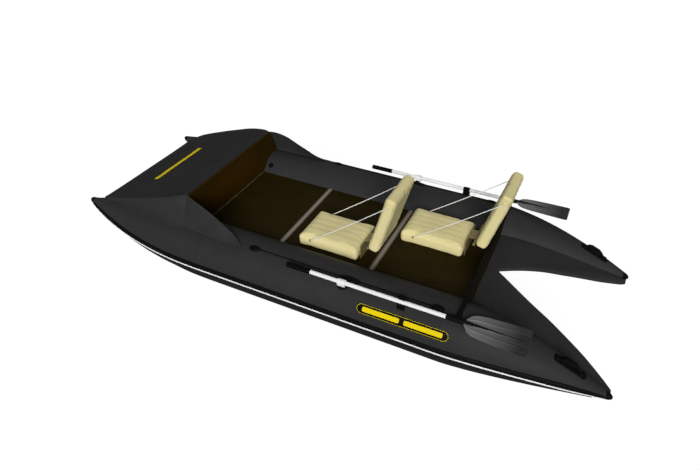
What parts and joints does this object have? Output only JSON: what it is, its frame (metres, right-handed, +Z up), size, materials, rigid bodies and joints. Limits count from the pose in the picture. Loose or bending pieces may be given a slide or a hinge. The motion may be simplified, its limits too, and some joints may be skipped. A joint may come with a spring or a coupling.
{
  "type": "inflatable catamaran",
  "caption": "Inflatable catamaran with round side tubes, raised bow, board floor, folding seats and stowed oars that swing out.",
  "frame": {"origin": "on the ground, below the middle of the boat's length and width", "axes": "+X towards the bow, +Y to port, +Z up"},
  "size_m": [3.8, 1.5236, 0.8959],
  "materials": {
    "hull_fabric": "matte coated fabric",
    "black_rubber": "matte",
    "brown_board": "varnished",
    "alloy": "satin",
    "seat_cover": "woven",
    "rope": "braided",
    "strap": "woven",
    "oar_white": "painted",
    "black_plastic": "moulded",
    "blade_plastic": "moulded"
  },
  "bodies": {
    "hull": {"port_side_tube": "hull_fabric", "port_keel": "hull_fabric", "port_bow_gusset": "hull_fabric", "port_rub_strake": "black_rubber", "port_front_lifeline_patch": "black_rubber", "port_rear_lifeline_patch": "black_rubber", "port_rowlock_base": "black_rubber", "port_stern_handle": "black_rubber", "port_bow_cap": "black_plastic", "port_stern_cap": "black_plastic", "port_oar_clip": "black_plastic", "port_valve": "black_plastic", "port_lifeline": "rope", "starboard_side_tube": "hull_fabric", "starboard_keel": "hull_fabric", "starboard_bow_gusset": "hull_fabric", "starboard_rub_strake": "black_rubber", "starboard_front_lifeline_patch": "black_rubber", "starboard_rear_lifeline_patch": "black_rubber", "starboard_rowlock_base": "black_rubber", "starboard_stern_handle": "black_rubber", "starboard_bow_cap": "black_plastic", "starboard_stern_cap": "black_plastic", "starboard_oar_clip": "black_plastic", "starboard_valve": "black_plastic", "starboard_lifeline": "rope", "tunnel_deck": "hull_fabric", "bow_chamber": "hull_fabric", "bow_wall": "brown_board", "front_floor_board": "brown_board", "middle_floor_board": "brown_board", "rear_floor_board": "brown_board", "transom_board": "brown_board", "front_floor_joiner": "alloy", "rear_floor_joiner": "alloy", "transom_cap": "black_rubber", "front_seat_cushion": "seat_cover", "front_hinge_base": "alloy", "front_seat_port_strap": "strap", "front_seat_starboard_strap": "strap", "rear_seat_cushion": "seat_cover", "rear_hinge_base": "alloy", "rear_seat_port_strap": "strap", "rear_seat_starboard_strap": "strap"},
    "port_oar": {"port_oar_collar": "black_plastic", "port_oar_grip": "black_plastic", "port_oar_shaft": "oar_white", "port_oar_sleeve": "black_plastic", "port_oar_blade": "blade_plastic"},
    "starboard_oar": {"starboard_oar_collar": "black_plastic", "starboard_oar_grip": "black_plastic", "starboard_oar_shaft": "oar_white", "starboard_oar_sleeve": "black_plastic", "starboard_oar_blade": "blade_plastic"},
    "front_back": {"front_backrest": "seat_cover", "front_hinge_flap": "alloy"},
    "rear_back": {"rear_backrest": "seat_cover", "rear_hinge_flap": "alloy"}
  },
  "joints": [
    {"name": "port_oar_swing", "type": "hinge", "parent": "hull", "child": "port_oar", "pos_m": [-0.29, 0.663, 0.448], "axis": [0, 0.1908, 0.9816], "range_deg": [-90, 0]},
    {"name": "starboard_oar_swing", "type": "hinge", "parent": "hull", "child": "starboard_oar", "pos_m": [-0.29, -0.663, 0.448], "axis": [0, -0.1908, 0.9816], "range_deg": [0, 90]},
    {"name": "front_back_fold", "type": "hinge", "parent": "hull", "child": "front_back", "pos_m": [-0.295, 0.175, 0.4453], "axis": [0, 1, 0], "range_deg": [0, 105], "deforming": ["front_seat_port_strap", "front_seat_starboard_strap"]},
    {"name": "rear_back_fold", "type": "hinge", "parent": "hull", "child": "rear_back", "pos_m": [-0.905, -0.16, 0.4453], "axis": [0, 1, 0], "range_deg": [0, 105], "deforming": ["rear_seat_port_strap", "rear_seat_starboard_strap"]}
  ]
}
